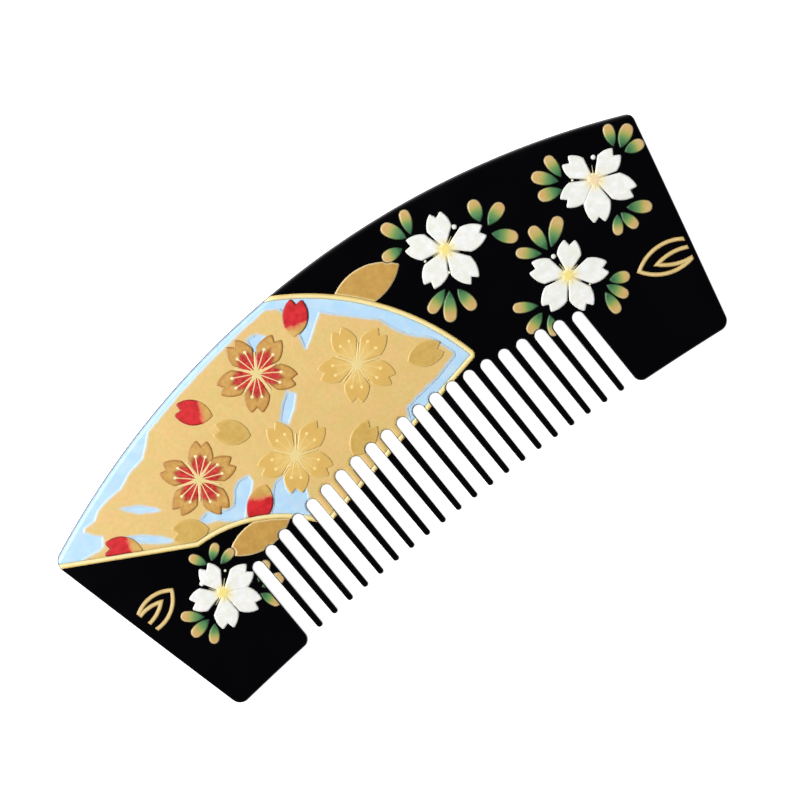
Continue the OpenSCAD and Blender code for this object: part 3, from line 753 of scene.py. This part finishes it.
def gold_ground():
    n = Nodes("gold_ground")
    c = n.mottle(srgb(229, 195, 121), 0.35, 0.8, srgb(237, 202, 132))
    c = n.mottle(c, 0.5, 0.7, srgb(239, 193, 132), 3.0)
    c = n.mottle(c, 0.6, 0.6, srgb(222, 200, 122), 7.0)
    c = n.mottle(c, 1.8, 0.5, srgb(223, 186, 110), 11.0)
    c = n.mix(n.step(n.wobble(n.value("fade"), 1.2, 0.5), 0.02, 0.6, 0.95, 0.0), c, srgb(192, 225, 248))
    return n.finish(c, 0.45, 0.006)


def gold_paint(name, light, deep, rim, rim_amount, rim_lo, rim_hi):
    """Gold paint with a border of another colour along its outline."""
    n = Nodes(name)
    c = n.mottle(srgb(*light), 0.8, 1.0, srgb(*deep))
    c = n.mottle(c, 2.2, 0.5, srgb(*deep), 5.0)
    edge = n.wobble(n.value("edge"), 1.5, 0.12)
    c = n.mix(n.step(edge, rim_lo, rim_hi, rim_amount, 0.0), c, srgb(*rim))
    return n.finish(c, 0.4, 0.006)


def gold_petals():
    n = Nodes("gold_petals")
    c = n.mottle(srgb(237, 200, 118), 0.9, 1.0, srgb(229, 189, 104))
    share = n.wobble(n.value("share"), 1.4, 0.2)
    c = n.mix(n.step(share, 0.35, 0.7, 0.0, 0.7), c, srgb(219, 176, 89))
    c = n.mix(n.step(share, 0.12, 0.34, 0.6, 0.0), c, srgb(234, 206, 134))
    c = n.mix(n.step(n.wobble(n.value("edge"), 1.5, 0.2), 0.0, 0.3, 0.6, 0.0), c, srgb(228, 196, 122))
    return n.finish(c, 0.4, 0.006)


def red_petals():
    n = Nodes("red_petals")
    share = n.wobble(n.value("share"), 1.3, 0.12)
    c = n.mottle(srgb(220, 176, 98), 0.9, 1.0, srgb(206, 156, 78))
    c = n.mottle(c, 2.0, 0.6, srgb(194, 142, 70), 6.0)
    edge = n.wobble(n.value("edge"), 1.6, 0.3)
    c = n.mix(n.step(edge, 0.02, 0.42, 0.8, 0.0), c, srgb(168, 114, 58))
    fan_out = n.calc("DIVIDE", n.value("cross"), n.calc("MAXIMUM", n.value("share"), 0.1))
    tip = n.calc("MULTIPLY", n.calc("COSINE", n.calc("MULTIPLY", fan_out, 3.6)), -0.03)
    beside = n.calc("MULTIPLY", n.calc("ABSOLUTE", fan_out), 0.045)
    reach = n.calc("ADD", n.calc("ADD", share, tip), beside)
    red = n.mottle(srgb(208, 40, 40), 1.6, 1.0, srgb(160, 20, 20), 2.0)
    red = n.mottle(red, 2.5, 0.5, srgb(226, 96, 84), 9.0)
    c = n.mix(n.step(reach, 0.56, 0.72, 0.85, 0.0), c, srgb(162, 72, 42))
    c = n.mix(n.step(reach, 0.54, 0.62, 1.0, 0.0), c, red)
    c = n.mix(n.step(share, 0.08, 0.15, 1.0, 0.0), c, srgb(226, 196, 130))
    return n.finish(c, 0.38, 0.006)


def red_bud():
    n = Nodes("red_bud")
    slant = n.calc("MULTIPLY", n.value("cross"), 0.08)
    along = n.calc("ADD", n.wobble(n.value("along"), 1.0, 0.25), slant)
    c = n.mottle(srgb(220, 180, 100), 0.9, 1.0, srgb(208, 160, 80))
    c = n.mix(n.step(n.value("edge"), 0.0, 0.3, 0.45, 0.0), c, srgb(196, 152, 80))
    c = n.mix(n.step(along, 0.24, 0.42, 0.0, 1.0), c, srgb(226, 120, 86))
    red = n.mottle(srgb(222, 40, 46), 1.0, 1.0, srgb(196, 26, 34))
    red = n.mix(n.step(n.wobble(n.value("edge"), 1.5, 0.15), 0.02, 0.26, 0.8, 0.0), red, srgb(128, 30, 26))
    c = n.mix(n.step(along, 0.36, 0.46), c, red)
    return n.finish(c, 0.38, 0.006)


def white_petals():
    n = Nodes("white_petals")
    c = n.mottle(srgb(255, 255, 255), 0.8, 0.9, srgb(238, 243, 240))
    c = n.mottle(c, 1.2, 0.6, srgb(246, 240, 230), 4.0)
    c = n.mottle(c, 0.9, 0.5, srgb(232, 235, 214), 8.0)
    c = n.mix(n.step(n.wobble(n.value("edge"), 1.4, 0.2), 0.02, 0.3, 0.6, 0.0), c, srgb(226, 227, 218))
    c = n.mix(n.step(n.wobble(n.value("share"), 1.4, 0.12), 0.14, 0.34, 0.9, 0.0), c, srgb(250, 238, 186))
    return n.finish(c, 0.35, 0.006)


def green_leaflets():
    n = Nodes("green_leaflets")
    along = n.wobble(n.value("along"), 1.2, 0.12)
    c = n.mottle(srgb(46, 100, 66), 1.2, 1.0, srgb(62, 120, 78))
    c = n.mix(n.step(along, 0.12, 0.46), c, srgb(104, 150, 90))
    c = n.mix(n.step(along, 0.38, 0.64), c, srgb(170, 172, 90))
    tip = n.mottle(srgb(210, 182, 118), 1.0, 0.9, srgb(214, 168, 100), 6.0)
    c = n.mix(n.step(along, 0.54, 0.82), c, tip)
    pale = n.calc("MULTIPLY", n.step(n.value("edge"), 0.16, 0.32, 0.7, 0.0), n.step(along, 0.45, 0.8))
    c = n.mix(pale, c, srgb(222, 196, 144))
    c = n.mix(n.step(n.value("edge"), 0.02, 0.15, 0.75, 0.0), c, srgb(62, 66, 40))
    return n.finish(c, 0.38, 0.006)


def cream_line():
    n = Nodes("cream_line")
    c = n.mottle(srgb(250, 234, 172), 0.5, 0.8, srgb(246, 224, 158))
    c = n.mix(n.step(n.wobble(n.value("outer"), 0.8, 0.2), 0.06, 0.36, 0.9, 0.0), c, srgb(228, 194, 104))
    return n.finish(c, 0.38, 0.005)


def stamen_paint(name, heart, ray, dot):
    n = Nodes(name)
    share = n.value("share")
    c = n.mottle(srgb(*ray), 1.5, 0.5, srgb(*heart))
    c = n.mix(n.step(share, 0.1, 0.24, 1.0, 0.0), c, srgb(*heart))
    c = n.mix(n.step(share, 0.5, 0.56), c, srgb(*dot))
    return n.finish(c, 0.4, 0.004)


MATS = {
    "black": black_lacquer(),
    "blue": blue_ground(),
    "cream": cream_line(),
    "cloud": gold_ground(),
    "line": gold_paint("drawn_line", (232, 210, 150), (222, 196, 132), (192, 154, 84), 0.9, 0.06, 0.22),
    "leaf": gold_paint("gold_leaf", (206, 163, 84), (194, 148, 70), (232, 210, 158), 0.85, 0.1, 0.26),
    "gold_bud": gold_paint("gold_bud", (216, 180, 98), (206, 166, 82), (226, 194, 118), 0.6, 0.0, 0.4),
    "gold": gold_petals(),
    "red": red_petals(),
    "red_bud": red_bud(),
    "white": white_petals(),
    "green": green_leaflets(),
    "gold_stamens": stamen_paint("gold_stamens", (238, 216, 148), (238, 210, 138), (252, 224, 146)),
    "red_stamens": stamen_paint("red_stamens", (234, 214, 146), (246, 212, 152), (254, 230, 184)),
    "white_stamens": stamen_paint("white_stamens", (250, 230, 140), (238, 226, 176), (246, 240, 214)),
    "peach_stamens": stamen_paint("peach_stamens", (250, 222, 178), (240, 224, 190), (246, 240, 214)),
}


def place(ob, mat, slot, *nodes):
    ob.data.materials.append(MATS[mat])
    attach(ob, "root")
    if nodes:
        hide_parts(*nodes)


fan_box = ((-54, -34), (20.5, 1))
cloud_lift, motif_lift = coat_t + 2 * paint_gap, 2 * coat_t + 3 * paint_gap
# Reach of each grid round its motif, as a factor of the motif's length
flower_room, stamen_room, bud_room, leaf_room, sprig_room, line_room = 1.2, 0.75, 1.1, 1.05, 1.3, 1.1
# Height of a flower's petals, foot of its stamens and their height, as shares of the coat's height
petal_share, stamen_foot, stamen_share = 0.85, 0.3, 0.7


def on_fan(P):
    return both(fan_field(P, fan_rim_w + paint_gap), paint_area(P))


def apart(a, b):
    """The signed turn from b to a, in degrees."""
    return (a - b + 180) % 360 - 180


def petal_attrs(c, petals):
    """Where a point lies in its petal: share of the reach, then the distance across, in millimetres."""
    turns, reach = np.array([t for t, s in petals]), petal_reach * np.array([s for t, s in petals])

    def nearest(P):
        q = P - c
        a = apart(np.degrees(np.arctan2(q[..., 1], q[..., 0]))[..., None], turns)
        k = np.abs(a).argmin(-1)
        return np.hypot(q[..., 0], q[..., 1]), np.take_along_axis(a, k[..., None], -1)[..., 0], reach[k]

    def share(P):
        r, _, full = nearest(P)
        return r / full

    def cross(P):
        r, a, _ = nearest(P)
        return r * np.sin(np.radians(a))

    return {"share": share, "cross": cross}


def ray(P, turn, r0, r1, w0, w1):
    """A tapered stroke from the distance r0 to r1, w0 and w1 wide."""
    q = local(P, (0, 0), turn)
    half = (w0 + (w1 - w0) * np.clip((q[..., 0] - r0) / (r1 - r0), 0, 1)) / 2
    return both(half - np.abs(q[..., 1]), q[..., 0] - r0, r1 - q[..., 0])


def stamens(P, petals, heart, between, within, dots):
    """Centre disc, strokes between the petals and inside them, and the dots that end them."""
    out = disc(P, (0, 0), heart)
    for k, (turn, share) in enumerate(petals):
        border = turn + (petals[(k + 1) % len(petals)][0] - turn) % 360 / 2
        reach = petal_reach * share
        out = either(out, ray(P, border, 0, petal_reach * between[0], *between[1:]))
        for off, length, w0, w1 in within:
            out = either(out, ray(P, turn + off, 0, reach * length, w0, w1))
        for where, off, length, r in dots:
            if where in (k, "all"):
                turn_to = turn + off if where == "all" else border
                out = either(out, disc(P, reach * length * way(turn_to), r))
    return out


def flower_pieces(kind, number, c, petals, lift, t, details, stamen_mat, dots=()):
    """The coat of a flower's petals with the dots beside it, and its stamens."""
    def coat(P):
        return either(flower(local(P, c), petals), *[disc(P, dot, dot_r) for dot in dots])

    attrs = petal_attrs(c, petals)
    place(paint(f"{kind}_{number}_petals", coat, box_round(c, petal_reach * flower_room), motif_step,
                lift, petal_share * t, petal_round, attrs),
          kind, f"{kind}_paint", f"{kind}_blossom_{number}")
    place(paint(f"{kind}_{number}_stamens", lambda P: stamens(local(P, c), petals, *details),
                box_round(c, petal_reach * stamen_room), stamen_step,
                lift + stamen_foot * t, stamen_share * t, stamen_round, attrs),
          stamen_mat, "cream_line")


# Stamens, as stamens() takes them: radius of the centre disc, the strokes between the petals with their
# reach as a share of petal_reach and their widths, the strokes within a petal with their turn, share of
# its reach and widths, and the dots with their petal, turn, share of its reach and radius
def fan_stamens(heart, wide, thick, thin):
    turns = (-12, 12)
    return (heart, (0.54, wide, thin), [(turn, 0.58, thick, thin) for turn in turns],
            [("all", turn, 0.6, 0.27) for turn in turns])


FAN_STAMENS = {"red": fan_stamens(0.5, 0.62, 0.24, 0.24), "gold": fan_stamens(0.72, 0.5, 0.26, 0.16)}
WHITE_STAMENS = (0.7, (0.36, 0.2, 0.06), [(0, 0.3, 0.5, 0.08)])
WHITE_DOTS = [
    [(1, 0, 0.58, 0.2), (2, 0, 0.57, 0.2)],
    [(1, 0, 0.62, 0.18)],
    [(3, 0, 0.6, 0.15)],
    [(0, 0, 0.6, 0.2)],
]


def leaflets(P, i, grow=0.0):
    """The three leaflets of sprig i, then the share of its length at which a point lies."""
    f, leaves = SPRIGS[i]
    c = spot(WHITE_FLOWERS[f][0])
    out, along = None, None
    for bearing, share, turn, long, wide in leaves:
        q = local(P, c + share * petal_reach * way(bearing), turn)
        size = (leaflet_len * long, leaflet_w * wide, leaflet_end_r * wide)
        g, a = leaflet(q, *size), q[..., 0] / (size[0] / 2 + leaflet_run(*size) + size[2])
        out, along = (g, a) if out is None else (either(out, g), np.where(g > out, a, along))
    return out + grow, along


def clear_of(P, f):
    """The black ground outside the fan and white blossom f, with a gap to both."""
    at, petals, _ = WHITE_FLOWERS[f]
    return both(-fan_field(P, -paint_gap), paint_area(P),
                -flower(local(P, spot(at)), petals, 2 * paint_gap))


def drawn(q, length, w):
    return both(lens(q, length, w, line_w / 2), -lens(q, length, w, -line_w / 2))


# The pieces
place(comb_body(), "black", "black_lacquer", "comb")
place(paint("ground_coat", on_fan, fan_box, ground_step, paint_gap, coat_t, attrs={"arch": arch_field}),
      "blue", "blue_paint", "fan_ground")
place(paint("rim_line", lambda P: both(fan_field(P, 0), -fan_field(P, fan_rim_w), paint_area(P)),
            fan_box, line_step, paint_gap, 2 * coat_t + paint_gap,
            attrs={"outer": lambda P: fan_field(P, 0)}),
      "cream", "cream_line", "fan_rim")
place(paint("cloud_coat", lambda P: both(cloud(P), on_fan(P)), fan_box, cloud_step, cloud_lift, coat_t,
            cloud_round, {"fade": cloud}, cloud_rise),
      "cloud", "gold_ground", "fan_cloud")

for i, (at, petals, dot) in enumerate(WHITE_FLOWERS):
    c = spot(at)
    flower_pieces("white", i + 1, c, petals, paint_gap, relief_t, (*WHITE_STAMENS, WHITE_DOTS[i]),
                  "peach_stamens" if i == 1 else "white_stamens",
                  [c + dot[1] * petal_reach * way(dot[0])])
for kind, rows in (("red", RED_FLOWERS), ("gold", GOLD_FLOWERS)):
    for i, (at, petals) in enumerate(rows):
        flower_pieces(kind, i + 1, fan_spot(at), petals, motif_lift, coat_t, FAN_STAMENS[kind],
                      f"{kind}_stamens")

for kind, rows in (("red", RED_BUDS), ("gold", GOLD_BUDS)):
    for i, (at, turn) in enumerate(rows):
        c = fan_spot(at)
        attrs = {"along": lambda P: local(P, c, turn)[..., 0] / bud_len + RED_MORE[i],
                 "cross": lambda P: local(P, c, turn)[..., 1]}
        place(paint(f"{kind}_bud_coat_{i + 1}",
                    lambda P: both(petal(local(P, c, turn), bud_len, bud_w), on_fan(P)),
                    box_round(c, bud_len * bud_room), motif_step, motif_lift, coat_t, bud_round, attrs),
              f"{kind}_bud", f"{kind}_paint", f"{kind}_bud_{i + 1}")

for i, (at, turn, length, w, f) in enumerate(GOLD_LEAVES):
    c = fan_spot(at)

    def leaf(P):
        cuts = [-leaflets(P, k, 2 * paint_gap)[0] for k, row in enumerate(SPRIGS) if row[0] == f]
        return both(lens(local(P, c, turn), length, w), clear_of(P, f), *cuts)

    place(paint(f"leaf_coat_{i + 1}", leaf, box_round(c, length * leaf_room), line_step, paint_gap, relief_t),
          "leaf", "gold_paint", f"gold_leaf_{i + 1}")
for i, (f, leaves) in enumerate(SPRIGS):
    foot, share = leaves[1][:2]
    middle = spot(WHITE_FLOWERS[f][0]) + share * petal_reach * way(foot)
    place(paint(f"leaflets_{i + 1}", lambda P: both(leaflets(P, i)[0], clear_of(P, f)),
                box_round(middle, leaflet_len * sprig_room), motif_step, paint_gap, relief_t,
                attrs={"along": lambda P: leaflets(P, i)[1]}),
          "green", "green_paint", f"sprig_{i + 1}")
for i, (at, turn, long, wide, shown) in enumerate(LINE_PETALS):
    c, length, w = spot(at), line_petal_len * long, line_petal_w * wide

    def line(P):
        q = local(P, c, turn)
        (x, y), turn_in, long_in, wide_in = line_petal_inside
        small = drawn(local(q, (length * x, w * y), turn_in), length * long_in, w * wide_in)
        return both(either(drawn(q, length, w), small), length * shown - q[..., 0])

    place(paint(f"drawn_petal_{i + 1}", line, box_round(c, length * line_room), motif_step, paint_gap,
                coat_t),
          "line", "cream_line", f"line_petal_{i + 1}")


# Floor, light and camera, in metres. The world's greys go by how high above the horizon one looks
floor_size, floor_drop = 3.0, 0.00002
world_greys = [(0.0, (0.3, 0.3, 0.3, 1)), (0.6, (0.16, 0.16, 0.17, 1)), (0.92, (0.008, 0.008, 0.01, 1))]
key_at, key_size, key_energy = (-0.672, 0.576, 0.992), 0.56, 22.4
camera_at, camera_turn, camera_lens = (0.001052, -0.001424, 0.0035 + 0.6408), -38, 200


def studio():
    bpy.ops.mesh.primitive_plane_add(size=floor_size, location=(0, 0, -floor_drop))
    floor = bpy.context.object
    floor.name = "floor"
    n = Nodes("pale_floor")
    c = n.mix(n.noise(0.02), (0.93, 0.93, 0.93, 1), (0.95, 0.95, 0.95, 1))
    n.finish(c, 0.9, specular=0.1)
    n.put(n.shader.inputs["Emission Color"], (1, 1, 1, 1))
    n.put(n.shader.inputs["Emission Strength"], 1.0)
    floor.data.materials.append(n.mat)
    world = bpy.data.worlds.new("studio")
    bpy.context.scene.world = world
    world.use_nodes = True
    tree = world.node_tree
    bg = tree.nodes["Background"]
    coord = tree.nodes.new("ShaderNodeTexCoord")
    split = tree.nodes.new("ShaderNodeSeparateXYZ")
    ramp = tree.nodes.new("ShaderNodeValToRGB")
    stops = ramp.color_ramp.elements
    stops.new(world_greys[1][0])
    for stop, (where, grey) in zip(stops, world_greys):
        stop.position, stop.color = where, grey
    tree.links.new(coord.outputs["Generated"], split.inputs[0])
    tree.links.new(split.outputs["Z"], ramp.inputs[0])
    tree.links.new(ramp.outputs[0], bg.inputs[0])
    bg.inputs[1].default_value = 1.0
    light = bpy.data.lights.new("key", "AREA")
    light.shape, light.size, light.energy = "DISK", key_size, key_energy
    key = bpy.data.objects.new("key", light)
    key.location = key_at
    key.rotation_euler = (-Vector(key.location)).to_track_quat("-Z", "Y").to_euler()
    key.visible_camera = False
    bpy.context.collection.objects.link(key)
    cam = bpy.data.cameras.new("camera")
    cam.lens, cam.sensor_width = camera_lens, 36
    cam.clip_start, cam.clip_end = 0.01, 10
    ob = bpy.data.objects.new("camera", cam)
    ob.location = camera_at
    ob.rotation_euler = (0, 0, math.radians(camera_turn))
    bpy.context.collection.objects.link(ob)
    bpy.context.scene.camera = ob
    bpy.context.scene.view_settings.view_transform = "Standard"


studio()
